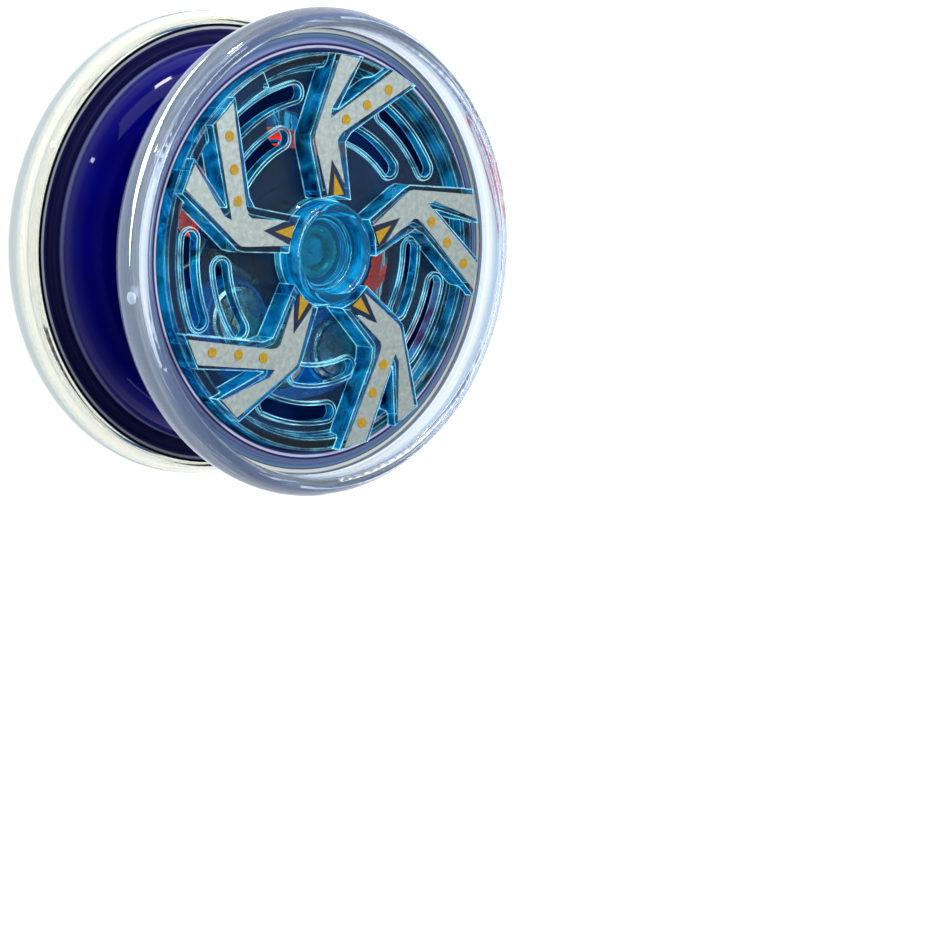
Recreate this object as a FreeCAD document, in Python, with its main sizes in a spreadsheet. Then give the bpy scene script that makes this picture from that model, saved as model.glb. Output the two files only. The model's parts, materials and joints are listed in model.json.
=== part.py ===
"""Light-up ball-bearing yo-yo, lying flat on one face.

Row frame: +Z is the spin axis, the origin is the centre of the lower rim's resting face.
Each half is drawn once, in its own frame: its Z is the height from the middle of the string gap
outwards, and its X and Y lie in the middle plane.  The upper half is that drawing lifted to the
middle of the yo-yo, and the lower half is the same drawing turned over.
"""
import FreeCAD, Part
import math
import os
import Sketcher

DOC = FreeCAD.newDocument("yoyo")
V = FreeCAD.Vector

# ---------------------------------------------------------------- driving dimensions (mm, degrees)
DIMENSIONS = {
    "outer_radius": 29.0,        # clear rim, over all
    "half_width": 13.75,         # middle plane to the crest of the rim
    "flange_radius": 27.3,       # rim of the blue shell, under the clear rim
    "flange_low": 8.3,
    "flange_high": 10.2,
    "gap_half": 2.6,             # middle plane to the wall of the string gap
    "shell_wall": 1.4,
    "shoulder_start": 18.8,      # where the gap wall begins to curve outwards
    "shoulder_radius": 6.0,
    "cap_radius": 23.65,
    "cap_low": 9.2,
    "cap_floor": 10.2,
    "cap_ring": 11.9,
    "cap_ring_inner": 22.0,
    "relief_top": 13.1,
    "relief_wall": 0.8,
    "foil_top": 13.25,
    "print_top": 13.31,
    "hub_boss": 6.0,
    "nut_radius": 3.15,
    "nut_low": 5.0,
    "nut_high": 9.9,
    "knob_base": 6.6,
    "knob_top": 13.3,
    "knob_radius": 6.2,
    "dish_radius": 4.6,
    "dish_floor": 11.4,
    "axle_radius": 2.0,
    "axle_length": 17.6,
    "race_outer": 5.0,
    "race_half": 2.0,
    "ball_pitch": 3.5,
    "ball_radius": 0.75,
    "pad_inner": 7.0,
    "pad_outer": 9.6,
    "pad_depth": 0.7,
    "window_inner": 12.2,
    "window_outer": 17.6,
    "cell_radius": 3.95,
    "cell_height": 3.6,
    "cell_circle": 12.9,
    "tray_floor": 0.8,
    "tray_wall": 0.4,
    "lamp_radius": 1.5,
    "spring_radius": 0.62,
    "switch_travel": 1.2,
    "cord_radius": 0.75,
    "winding_radius": 15.0,
    "winding_half": 2.3,
}
CLEARANCE = 0.05                 # between pieces that slip together by hand
CLAWS = 5
CELL_ANGLES = (214.0, 252.0, 290.0)
WINDOWS = ((76.0, 48.0), (154.0, 32.0), (-12.0, 48.0))    # middle angle and span of each kidney
WINDOW_END = 10.0                # angle that each rounded end takes up

SHEET = DOC.addObject("Spreadsheet::Sheet", "Sizes")
for row, (alias, number) in enumerate(DIMENSIONS.items(), start=1):
    SHEET.set("A%d" % row, alias)
    SHEET.set("B%d" % row, "%g" % number)
    SHEET.setAlias("B%d" % row, alias)
DOC.recompute()


class Dim:
    """A number that remembers how it follows from the sheet, so that a feature can be bound to it."""

    def __init__(self, value, text):
        self.value = value
        self.text = text

    def __add__(self, other):
        other = dim(other)
        return Dim(self.value + other.value, "(%s + %s)" % (self.text, other.text))

    def __sub__(self, other):
        other = dim(other)
        return Dim(self.value - other.value, "(%s - %s)" % (self.text, other.text))

    def __mul__(self, other):
        other = dim(other)
        return Dim(self.value * other.value, "(%s * %s)" % (self.text, other.text))

    def __radd__(self, other):
        return dim(other) + self


def dim(item):
    """A sheet alias, a plain number or a Dim, as a Dim."""
    if isinstance(item, Dim):
        return item
    if isinstance(item, str):
        return Dim(DIMENSIONS[item], "Sizes." + item)
    return Dim(float(item), "%.6g" % item)


def mm(item):
    return dim(item).value


# ---------------------------------------------------------------- the two halves
FLIP_AXIS_ANGLE = 32.0           # the lower half is turned over about this line in the middle plane
MIDDLE = FreeCAD.Placement(V(0, 0, mm("half_width")), FreeCAD.Rotation())
FLIP_AXIS = V(math.cos(math.radians(FLIP_AXIS_ANGLE)), math.sin(math.radians(FLIP_AXIS_ANGLE)), 0)
TURNED = FreeCAD.Placement(V(0, 0, mm("half_width")), FreeCAD.Rotation(FLIP_AXIS, 180.0))
HALVES = (("top", MIDDLE), ("bottom", TURNED))

PIECES = []                      # every sub-part, in the order it was made


def keep(piece, label):
    piece.Label = label
    PIECES.append(piece)
    return piece


# ---------------------------------------------------------------- feature helpers
def new_body(label, placement):
    body = DOC.addObject("PartDesign::Body", label)
    body.Placement = placement
    return keep(body, label)


def new_sketch(body, role, name, height=0.0):
    """A sketch on one of the body's own origin planes, lifted by height along the plane's normal."""
    sketch = body.newObject("Sketcher::SketchObject", name)
    plane = [item for item in body.Origin.OriginFeatures if item.Role == role][0]
    sketch.AttachmentSupport = [(plane, "")]
    sketch.MapMode = "FlatFace"
    sketch.setExpression("AttachmentOffset.Base.z", dim(height).text)
    return sketch


def pin_down(sketch, index, point, x, y):
    """Ties one end of a sketch edge to its place, measured from the sketch's origin."""
    for kind, item, axis_name in (("DistanceX", x, "x"), ("DistanceY", y, "y")):
        number = sketch.addConstraint(Sketcher.Constraint(kind, -1, 1, index, point, mm(item)))
        name = "p%d%s" % (index, axis_name)
        sketch.renameConstraint(number, name)
        if "Sizes." in dim(item).text:
            sketch.setExpression("Constraints." + name, dim(item).text)


def draw_profile(sketch, points):
    """A closed outline.  A point is (x, y), or (x, y, (xm, ym)) for an arc to the next through the third."""
    count = len(points)
    starts, ends = [], []
    for index, point in enumerate(points):
        following = points[(index + 1) % count]
        start = V(mm(point[0]), mm(point[1]), 0)
        end = V(mm(following[0]), mm(following[1]), 0)
        forward = True
        if len(point) == 3:
            middle = V(mm(point[2][0]), mm(point[2][1]), 0)
            # A sketch keeps every arc anticlockwise, so a clockwise one is drawn from its far end.
            forward = (middle - start).cross(end - middle).z > 0
            first, last = (start, end) if forward else (end, start)
            sketch.addGeometry(Part.Arc(first, middle, last), False)
        else:
            sketch.addGeometry(Part.LineSegment(start, end), False)
        starts.append(1 if forward else 2)
        ends.append(2 if forward else 1)
    for index in range(count):
        following = (index + 1) % count
        sketch.addConstraint(Sketcher.Constraint("Coincident", index, ends[index], following, starts[following]))
    for index, point in enumerate(points):
        pin_down(sketch, index, starts[index], point[0], point[1])


def revolve(body, name, points, cut=False):
    """Turns a profile of (radius, height) about the body's Z."""
    sketch = new_sketch(body, "XZ_Plane", name + "_profile")
    draw_profile(sketch, points)
    kind = "PartDesign::Groove" if cut else "PartDesign::Revolution"
    feature = body.newObject(kind, name)
    feature.Profile = sketch
    feature.ReferenceAxis = (sketch, ["V_Axis"])
    feature.Angle = 360.0
    sketch.Visibility = False
    return feature


def pad(body, name, sketch, length, up=True):
    feature = body.newObject("PartDesign::Pad", name)
    feature.Profile = sketch
    feature.Reversed = not up
    feature.setExpression("Length", dim(length).text)
    return feature


def pocket(body, name, sketch, length, up=False):
    feature = body.newObject("PartDesign::Pocket", name)
    feature.Profile = sketch
    feature.Reversed = up
    feature.setExpression("Length", dim(length).text)
    return feature


def ring_of(body, name, feature, count):
    """Repeats a feature round the body's Z."""
    pattern = body.newObject("PartDesign::PolarPattern", name)
    pattern.Originals = [feature]
    axis = [item for item in body.Origin.OriginFeatures if item.Role == "Z_Axis"][0]
    pattern.Axis = (axis, [""])
    pattern.Angle = 360.0
    pattern.Occurrences = count
    body.Tip = pattern
    return pattern


def draw_kidney(sketch, inner, outer, middle_angle, span):
    """A curved slot with round ends between two radii; span is the angle between its end centres."""
    low, high = mm(inner), mm(outer)
    mean, end_radius = (low + high) / 2, (high - low) / 2
    first = math.radians(middle_angle - span / 2)
    last = math.radians(middle_angle + span / 2)
    centre, up = V(0, 0, 0), V(0, 0, 1)
    inside = sketch.addGeometry(Part.ArcOfCircle(Part.Circle(centre, up, low), first, last), False)
    outside = sketch.addGeometry(Part.ArcOfCircle(Part.Circle(centre, up, high), first, last), False)
    tips = []
    for angle, turn in ((last, 0.0), (first, math.pi)):
        tip = V(mean * math.cos(angle), mean * math.sin(angle), 0)
        circle = Part.Circle(tip, up, end_radius)
        tips.append(sketch.addGeometry(Part.ArcOfCircle(circle, angle + turn, angle + turn + math.pi), False))
    joints = ((inside, 3, -1, 1), (outside, 3, -1, 1), (outside, 2, tips[0], 1), (tips[0], 2, inside, 2),
              (inside, 1, tips[1], 1), (tips[1], 2, outside, 1))
    for joint in joints:
        sketch.addConstraint(Sketcher.Constraint("Coincident", *joint))
    for edge, item, name in ((inside, inner, "inner"), (outside, outer, "outer")):
        number = sketch.addConstraint(Sketcher.Constraint("Radius", edge, mm(item)))
        sketch.renameConstraint(number, name)
        if "Sizes." in dim(item).text:
            sketch.setExpression("Constraints." + name, dim(item).text)


def draw_sector(sketch, inner, outer, first_angle, last_angle):
    """A flat ring sector with straight ends."""
    first, last = math.radians(first_angle), math.radians(last_angle)
    centre, up = V(0, 0, 0), V(0, 0, 1)
    low, high = mm(inner), mm(outer)
    sketch.addGeometry(Part.ArcOfCircle(Part.Circle(centre, up, low), first, last), False)
    sketch.addGeometry(Part.ArcOfCircle(Part.Circle(centre, up, high), first, last), False)
    for angle in (first, last):
        start = V(low * math.cos(angle), low * math.sin(angle), 0)
        end = V(high * math.cos(angle), high * math.sin(angle), 0)
        sketch.addGeometry(Part.LineSegment(start, end), False)


def draw_circles(sketch, centres, radius):
    for number, (x, y) in enumerate(centres):
        edge = sketch.addGeometry(Part.Circle(V(x, y, 0), V(0, 0, 1), mm(radius)), False)
        constraint = sketch.addConstraint(Sketcher.Constraint("Radius", edge, mm(radius)))
        sketch.renameConstraint(constraint, "radius%d" % number)
        sketch.setExpression("Constraints.radius%d" % number, dim(radius).text)


def draw_wire(sketch, wire):
    """Copies a flat wire of lines and arcs into a sketch."""
    for edge in wire.Edges:
        ends = [vertex.Point for vertex in edge.Vertexes]
        if isinstance(edge.Curve, Part.Line):
            sketch.addGeometry(Part.LineSegment(ends[0], ends[1]), False)
        else:
            middle = edge.valueAt((edge.FirstParameter + edge.LastParameter) / 2)
            sketch.addGeometry(Part.Arc(ends[0], middle, ends[1]), False)


def polar(radius, angle, height=0.0):
    turn = math.radians(angle)
    return V(mm(radius) * math.cos(turn), mm(radius) * math.sin(turn), mm(height))


def free_feature(label, shape, placement):
    """A piece whose shape is not a sketched feature, such as a bent wire."""
    piece = DOC.addObject("Part::Feature", label)
    piece.Shape = shape
    piece.Placement = placement
    return keep(piece, label)


# ---------------------------------------------------------------- mouldings of one half
def clear_rim(half, placement):
    """The clear ring that is pressed over the shell's flange; its crest is what the toy rests on."""
    body = new_body("clear_rim_" + half, placement)
    crest = dim("half_width")
    wall = dim("flange_radius") + CLEARANCE
    outer = dim("outer_radius")
    lip = dim("flange_high") + CLEARANCE
    revolve(body, "ring", [
        (wall, "flange_low"),
        (wall + 0.45, dim("flange_low") - 0.3, (outer - 0.55, dim("flange_low") + 0.75)),
        (outer, crest - 2.6, (outer - 0.1, crest - 1.45)),
        (outer - 0.75, crest - 0.35, (outer - 1.05, crest - 0.1)),
        (outer - 1.4, crest),
        (outer - 1.75, crest, (outer - 2.05, crest - 0.12)),
        (outer - 2.3, crest - 0.5),
        (outer - 2.45, crest - 1.5),
        (outer - 2.45, lip),
        (wall, lip),
    ])
    return body


def body_shell(half, placement):
    """The dark blue bowl: hub boss, gap wall, rounded shoulder and flange in one moulding."""
    body = new_body("body_shell_" + half, placement)
    start, bend = dim("shoulder_start"), dim("shoulder_radius")
    gap, wall = dim("gap_half"), dim("shell_wall")
    floor = gap + wall
    inner_bend = 3.8
    diagonal = math.sqrt(0.5)
    hub_top = dim("cap_low")
    revolve(body, "shell", [
        (dim("axle_radius") + 0.1, gap),
        (start, gap, (start + bend * diagonal, gap + bend * (1 - diagonal))),
        (start + bend, gap + bend - 0.9),
        (start + bend + 0.7, gap + bend - 0.9),
        (start + bend + 0.7, "flange_low"),
        ("flange_radius", "flange_low"),
        ("flange_radius", "flange_high"),
        (dim("cap_radius") + 1.5, "flange_high"),
        (dim("cap_radius") + 1.2, dim("flange_high") + 0.5),
        (dim("cap_radius") + 0.6, dim("flange_high") + 0.5),
        (dim("cap_radius") + 0.1, "flange_high"),
        (dim("cap_radius") + 0.1, "cap_low"),
        (start + inner_bend, "cap_low"),
        (start + inner_bend, floor + inner_bend,
         (start + inner_bend * diagonal, floor + inner_bend * (1 - diagonal))),
        (start, floor),
        (dim("hub_boss") + 1.6, floor),
        (dim("hub_boss") + 1.6, floor + 0.6),
        ("hub_boss", floor + 0.9),
        ("hub_boss", hub_top),
        (dim("nut_radius") + CLEARANCE, hub_top),
        (dim("nut_radius") + CLEARANCE, "nut_low"),
        (dim("axle_radius") + 0.1, "nut_low"),
    ])
    revolve(body, "pad_seat", [
        (dim("pad_inner") - CLEARANCE, gap - 0.5),
        (dim("pad_outer") + CLEARANCE, gap - 0.5),
        (dim("pad_outer") + CLEARANCE, gap + "pad_depth"),
        (dim("pad_inner") - CLEARANCE, gap + "pad_depth"),
    ], cut=True)
    for number, (angle, span) in enumerate(WINDOWS):
        sketch = new_sketch(body, "XY_Plane", "window%d_outline" % number, "nut_low")
        draw_kidney(sketch, "window_inner", "window_outer", angle, span - 2 * WINDOW_END)
        pocket(body, "window%d" % number, sketch, 5.0)
    return body


# The claw-shaped relief and its foil sticker, as seen from outside, beside the half's own +Y line.
RELIEF = [(1.0, 23.55), (-2.35, 15.9), (-3.2, 14.1), (-3.15, 13.0), (-1.65, 6.55), (0.6, 6.76), (2.9, 6.1),
          (2.35, 11.3), (2.2, 13.0), (3.2, 14.1), (13.55, 19.3), (9.6, 21.55), (1.1, 16.9), (5.3, 23.0)]
FOIL = [(1.66, 23.35), (-1.71, 16.0), (-2.43, 14.4), (-2.6, 13.7), (-2.45, 12.9), (-0.77, 6.75),
        (-0.09, 11.1), (1.86, 8.1), (0.86, 13.2), (1.1, 13.75), (1.8, 14.25), (3.0, 14.86),
        (12.8, 19.5), (9.95, 21.2), (-0.06, 15.95), (0.1, 17.1), (4.68, 22.8)]
TRIANGLE = [(0.23, 9.43), (0.06, 6.86), (1.63, 6.86)]
NAVY = [(-0.09, 10.95), (-0.62, 6.82), (1.93, 6.82), (1.66, 8.05)]
DOTS = [(2.23, 15.69), (5.57, 17.26), (9.03, 18.97)]
DOT_RADIUS = 0.62
OUTER_SLOT = {"inner": 18.35, "outer": 20.25, "angle": 42.0, "span": 28.5}
INNER_SLOT = {"inner": 13.75, "outer": 15.75, "angle": 54.5, "span": 30.0}
SLOT_LIP = 0.45
SLOT_LIP_HEIGHT = 0.35


def flat_wire(points):
    corners = [V(x, y, 0) for x, y in points]
    return Part.makePolygon(corners + corners[:1])


def side_cap(half, placement):
    """The teal window of a half: a disc with a raised ring, vent slots and five hollow claws."""
    body = new_body("side_cap_" + half, placement)
    low, floor, ring = dim("cap_low"), dim("cap_floor"), dim("cap_ring")
    edge = dim("cap_radius")
    revolve(body, "disc", [
        (dim("dish_radius") + 0.3, low),
        (edge, low),
        (edge, ring - 0.3),
        (edge - 0.3, ring),
        (dim("cap_ring_inner") + 0.3, ring),
        ("cap_ring_inner", ring - 0.3),
        (dim("cap_ring_inner") - 0.15, floor + 0.3),
        (dim("cap_ring_inner") - 0.45, floor),
        (dim("dish_radius") + 0.3, floor),
    ])
    sketch = new_sketch(body, "XY_Plane", "claw_outline", floor - 0.2)
    draw_wire(sketch, flat_wire(RELIEF))
    claw = pad(body, "claw", sketch, dim("relief_top") - floor + 0.2)
    ring_of(body, "claws", claw, CLAWS)
    for name, slot in (("outer_slot", OUTER_SLOT), ("inner_slot", INNER_SLOT)):
        sketch = new_sketch(body, "XY_Plane", name + "_lip_outline", floor - 0.2)
        draw_kidney(sketch, slot["inner"] - SLOT_LIP, slot["outer"] + SLOT_LIP, slot["angle"], slot["span"])
        lip = pad(body, name + "_lip", sketch, 0.2 + SLOT_LIP_HEIGHT)
        ring_of(body, name + "_lips", lip, CLAWS)
    gate = new_sketch(body, "XY_Plane", "gate_outline", floor)
    draw_sector(gate, dim("cap_ring_inner") - 0.5, edge - 0.2, 113.0, 131.0)
    pad(body, "gate_land", gate, ring - floor + 0.25)
    for name, slot in (("outer_slot", OUTER_SLOT), ("inner_slot", INNER_SLOT)):
        sketch = new_sketch(body, "XY_Plane", name + "_outline", floor + 1.0)
        draw_kidney(sketch, slot["inner"], slot["outer"], slot["angle"], slot["span"])
        ring_of(body, name + "s", pocket(body, name, sketch, 3.0), CLAWS)
    sketch = new_sketch(body, "XY_Plane", "hollow_outline", low - 0.5)
    draw_wire(sketch, flat_wire(RELIEF).makeOffset2D(-mm("relief_wall")))
    hollow = pocket(body, "hollow", sketch, dim("relief_top") - low - "relief_wall" + 0.5, up=True)
    ring_of(body, "hollows", hollow, CLAWS)
    return body


def flat_print(label, placement, low, high, outlines, circles=()):
    """Thin foil or print on the five claws, as one group of separate flat solids."""
    solids = []
    for index in range(CLAWS):
        turn = 360.0 / CLAWS * index
        for points in outlines:
            face = Part.Face(flat_wire(points))
            solids.append(face.rotated(V(0, 0, 0), V(0, 0, 1), turn))
        for x, y in circles:
            disc = Part.Face(Part.Wire(Part.makeCircle(DOT_RADIUS, V(x, y, 0))))
            solids.append(disc.rotated(V(0, 0, 0), V(0, 0, 1), turn))
    rise = V(0, 0, mm(high) - mm(low))
    solids = [face.translated(V(0, 0, mm(low))).extrude(rise) for face in solids]
    return free_feature(label, Part.makeCompound(solids), placement)


def hub_knob(half, placement):
    """The clear dished boss in the middle of a cap, with a plug through the cap's centre hole."""
    body = new_body("hub_knob_" + half, placement)
    floor, top, radius = dim("cap_floor"), dim("knob_top"), dim("knob_radius")
    dish, under = dim("dish_radius"), dim("cap_floor") + 0.2
    revolve(body, "boss", [
        (0.0001, under),
        (4.0, under),
        (4.0, dim("cap_low") + 0.1),
        (dish + 0.2, dim("cap_low") + 0.1),
        (dish + 0.2, floor),
        ("knob_base", floor),
        ("knob_base", floor + 0.45),
        (dim("knob_base") - 0.2, floor + 0.7),
        (radius + 0.1, floor + 0.7),
        (radius, floor + 1.0),
        (radius - 0.15, top - 0.7, (radius - 0.38, top - 0.18)),
        (radius - 0.9, top, (dish + 0.35, top - 0.16)),
        (dish + 0.1, top - 0.6),
        (dish, dim("dish_floor") + 0.4, (dish - 0.12, dim("dish_floor") + 0.12)),
        (dish - 0.4, "dish_floor"),
        (0.0001, "dish_floor"),
    ])
    return body


def hub_nut(half, placement):
    """The round brass insert that the steel axle screws into."""
    body = new_body("hub_nut_" + half, placement)
    low, high = dim("nut_low"), dim("nut_high")
    bore = dim("axle_radius") + CLEARANCE
    revolve(body, "insert", [
        (bore, low),
        ("nut_radius", low),
        ("nut_radius", low + 1.7),
        (dim("nut_radius") - 0.3, low + 1.9),
        (dim("nut_radius") - 0.3, low + 2.3),
        ("nut_radius", low + 2.5),
        ("nut_radius", high - 0.35),
        (dim("nut_radius") - 0.35, high),
        (bore + 0.3, high),
        (bore, high - 0.3),
    ])
    return body


def response_pad(half, placement):
    """The silicone ring that grips the string."""
    body = new_body("response_pad_" + half, placement)
    gap = dim("gap_half")
    revolve(body, "ring", [
        ("pad_inner", gap),
        ("pad_outer", gap),
        ("pad_outer", gap + dim("pad_depth")),
        ("pad_inner", gap + dim("pad_depth")),
    ])
    return body


def bearing_spacer(half, placement):
    body = new_body("bearing_spacer_" + half, placement)
    revolve(body, "washer", [
        (dim("axle_radius") + CLEARANCE, "race_half"),
        (3.0, "race_half"),
        (2.8, "gap_half"),
        (dim("axle_radius") + CLEARANCE, "gap_half"),
    ])
    return body


# ---------------------------------------------------------------- light unit of one half
def cell_centres():
    return [(polar("cell_circle", angle).x, polar("cell_circle", angle).y) for angle in CELL_ANGLES]


def light_tray(half, placement):
    """The translucent blue carrier: a curved floor with three battery cups."""
    body = new_body("light_tray_" + half, placement)
    base = dim("gap_half") + "shell_wall"
    floor = dim("tray_floor")
    sketch = new_sketch(body, "XY_Plane", "floor_outline", base)
    draw_sector(sketch, 7.7, 17.9, 194.0, 324.0)
    pad(body, "floor", sketch, floor)
    sketch = new_sketch(body, "XY_Plane", "cup_outline", base + 0.2)
    cup_radius = dim("cell_radius") + "tray_wall" + 0.1
    draw_circles(sketch, cell_centres()[::2], cup_radius)
    pad(body, "outer_cups", sketch, floor + 2.4)
    sketch = new_sketch(body, "XY_Plane", "middle_cup_outline", base + 0.2)
    draw_circles(sketch, cell_centres()[1:2], cup_radius)
    pad(body, "middle_cup", sketch, floor + 2.4)
    sketch = new_sketch(body, "XY_Plane", "cell_outline", base + floor + 3.0)
    draw_circles(sketch, cell_centres(), dim("cell_radius") + 0.1)
    pocket(body, "cell_seats", sketch, 3.0)
    sketch = new_sketch(body, "XY_Plane", "end_rib_outline", base + 0.2)
    draw_sector(sketch, 10.5, 15.5, 194.0, 195.8)
    pad(body, "end_rib", sketch, floor + 1.2)
    sketch = new_sketch(body, "XY_Plane", "outer_rib_outline", base + 0.2)
    draw_sector(sketch, 17.4, 17.9, 204.0, 306.0)
    pad(body, "outer_rib", sketch, floor + 1.6)
    return body


def button_cells(half, placement):
    """Three button cells lying in their cups, as one group."""
    body_base = mm("gap_half") + mm("shell_wall") + mm("tray_floor")
    radius, height = mm("cell_radius"), mm("cell_height")
    outline = [(0, 0), (radius - 0.25, 0), (radius, 0.25), (radius, height - 0.75),
               (radius - 0.2, height - 0.55), (radius - 0.7, height - 0.5), (radius - 0.8, height), (0, height)]
    corners = [V(r, 0, z) for r, z in outline]
    face = Part.Face(Part.makePolygon(corners + corners[:1]))
    cell = face.revolve(V(0, 0, 0), V(0, 0, 1), 360.0)
    cells = [cell.translated(V(x, y, body_base)) for x, y in cell_centres()]
    return free_feature("button_cells_" + half, Part.makeCompound(cells), placement)


def contact_strips(half, placement):
    """A link between the first two cells and a tab from the third towards the lamp."""
    height = mm("gap_half") + mm("shell_wall") + mm("tray_floor") + mm("cell_height")
    first, second, third = [V(x, y, height) for x, y in cell_centres()]
    thickness, width = 0.2, 2.4
    tab_end = polar("cell_circle", 303.0, height)
    strips = []
    for start, end in ((first, second), (third, tab_end)):
        along = end - start
        strip = Part.makeBox(along.Length + 1.6, width, thickness, V(-0.8, -width / 2, 0))
        turn = FreeCAD.Rotation(V(1, 0, 0), along)
        strip.Placement = FreeCAD.Placement(start, turn)
        strips.append(strip)
    return free_feature("contact_strips_" + half, Part.makeCompound(strips), placement)


LAMP_ANGLE = 320.0
LAMP_HEIGHT = 6.75
LAMP_BACK = 11.4                 # radius of the lamp's back face


def lamp_frame(placement):
    """Z along the lamp, pointing outwards from the hub; X stays in the middle plane."""
    out = polar(1.0, LAMP_ANGLE)
    turn = FreeCAD.Rotation(V(0, 0, 1), out)
    return placement.multiply(FreeCAD.Placement(polar(LAMP_BACK, LAMP_ANGLE, LAMP_HEIGHT), turn))


def led_lamp(half, placement):
    """A 3 mm lamp with a domed lens and a flange, lying along the radius."""
    body = new_body("led_lamp_" + half, lamp_frame(placement))
    radius = dim("lamp_radius")
    tip = mm(radius)
    diagonal = math.sqrt(0.5)
    revolve(body, "lens", [
        (0.0001, 0.05),
        (radius + 0.3, 0.05),
        (radius + 0.3, 0.85),
        (radius, 0.85),
        (radius, 3.4, (radius * diagonal, 3.4 + tip * diagonal)),
        (0.0001, 3.4 + tip),
    ])
    return body


def bent_path(points, radii=None):
    """A wire of straight runs joined by tangent arcs; also gives the arcs' radii."""
    edges, used = [], []
    start = points[0]
    for index in range(1, len(points) - 1):
        corner = points[index]
        before, after = corner - points[index - 1], points[index + 1] - corner
        shorter = min(before.Length, after.Length)
        turn = before.getAngle(after)
        trim = 0.45 * shorter
        radius = trim / math.tan(turn / 2)
        if radii:
            radius = radii
            trim = radius * math.tan(turn / 2)
        into, out = before.normalize(), after.normalize()
        first, last = corner - into * trim, corner + out * trim
        inward = (out - into).normalize()
        centre = corner + inward * (radius / math.cos(turn / 2))
        middle = centre - inward * radius
        edges.append(Part.LineSegment(start, first).toShape())
        edges.append(Part.Arc(first, middle, last).toShape())
        used.append(radius)
        start = last
    edges.append(Part.LineSegment(start, points[-1]).toShape())
    return Part.Wire(edges), used


def round_tube(points, radius, bend=None):
    """A round bar swept along a bent path."""
    path, used = bent_path(points, bend)
    along = points[1] - points[0]
    profile = Part.Wire(Part.makeCircle(radius, points[0], along))
    return path.makePipeShell([profile], True, False), path.Length, used


def led_leads(half, placement):
    """The lamp's two legs, bent down into the tray."""
    out, side = polar(1.0, LAMP_ANGLE), polar(1.0, LAMP_ANGLE + 90.0)
    legs = []
    for offset in (-0.64, 0.64):
        start = polar(LAMP_BACK, LAMP_ANGLE, LAMP_HEIGHT) + side * offset
        knee = start - out * 1.3
        foot = V(knee.x, knee.y, mm("gap_half") + mm("shell_wall") + mm("tray_floor"))
        legs.append(round_tube([start, knee, foot], 0.22, 0.5)[0])
    return free_feature("led_leads_" + half, Part.makeCompound(legs), placement)


# The centrifugal switch: a small weight on a coil spring, which flies out against a contact wire.
SWITCH_POST = V(-7.25, -3.1, 0)
SWITCH_AXIS = V(-0.863, 0.505, 0).normalize()
SWITCH_HEIGHT = 6.1
SPRING_START, SPRING_END = 0.5, 5.2
WEIGHT_RADIUS, WEIGHT_LENGTH = 0.95, 1.7


def along_switch(distance):
    return V(SWITCH_POST.x, SWITCH_POST.y, SWITCH_HEIGHT) + SWITCH_AXIS * distance


def switch_post(half, placement):
    base = mm("gap_half") + mm("shell_wall") + mm("tray_floor")
    stem = Part.makeCylinder(0.45, SWITCH_HEIGHT - base + 1.0, V(SWITCH_POST.x, SWITCH_POST.y, base))
    return free_feature("switch_post_" + half, stem, placement)


def switch_spring(half, placement):
    """The outer shape of the coil spring."""
    length = SPRING_END - SPRING_START
    radius = mm("spring_radius")
    coil = Part.makeCylinder(radius, length, along_switch(SPRING_START), SWITCH_AXIS)
    hollow = Part.makeCylinder(radius - 0.3, length, along_switch(SPRING_START), SWITCH_AXIS)
    return free_feature("switch_spring_" + half, coil.cut(hollow), placement)


def switch_weight(half, placement):
    weight = Part.makeCylinder(WEIGHT_RADIUS, WEIGHT_LENGTH, along_switch(SPRING_END), SWITCH_AXIS)
    weight = weight.makeChamfer(0.2, [edge for edge in weight.Edges if isinstance(edge.Curve, Part.Circle)])
    return free_feature("switch_weight_" + half, weight, placement)


def contact_wire(half, placement):
    """A springy wire from the tray, with its tip across the weight's path."""
    meeting = along_switch(SPRING_END + WEIGHT_LENGTH + mm("switch_travel") + 0.4)
    across = V(-SWITCH_AXIS.y, SWITCH_AXIS.x, 0)
    start = V(-16.0, -6.3, 5.2)
    points = [start, V(-17.35, -3.6, 5.2), V(-17.2, -1.2, 5.5), meeting + across * 1.7, meeting - across * 1.3]
    wire = round_tube(points, 0.25, 0.8)[0]
    return free_feature("contact_wire_" + half, wire, placement)


# ---------------------------------------------------------------- axle and bearing, in the middle
def axle():
    """The steel rod that both halves screw onto."""
    rod = DOC.addObject("Part::Cylinder", "axle_rod")
    rod.setExpression("Radius", "Sizes.axle_radius")
    rod.setExpression("Height", "Sizes.axle_length")
    DOC.recompute()
    piece = DOC.addObject("Part::Chamfer", "axle")
    piece.Base = rod
    ends = [index + 1 for index, edge in enumerate(rod.Shape.Edges) if isinstance(edge.Curve, Part.Circle)]
    piece.Edges = [(number, 0.3, 0.3) for number in ends]
    piece.Placement = FreeCAD.Placement(V(0, 0, mm("half_width") - mm("axle_length") / 2), FreeCAD.Rotation())
    return keep(piece, "axle")


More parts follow.
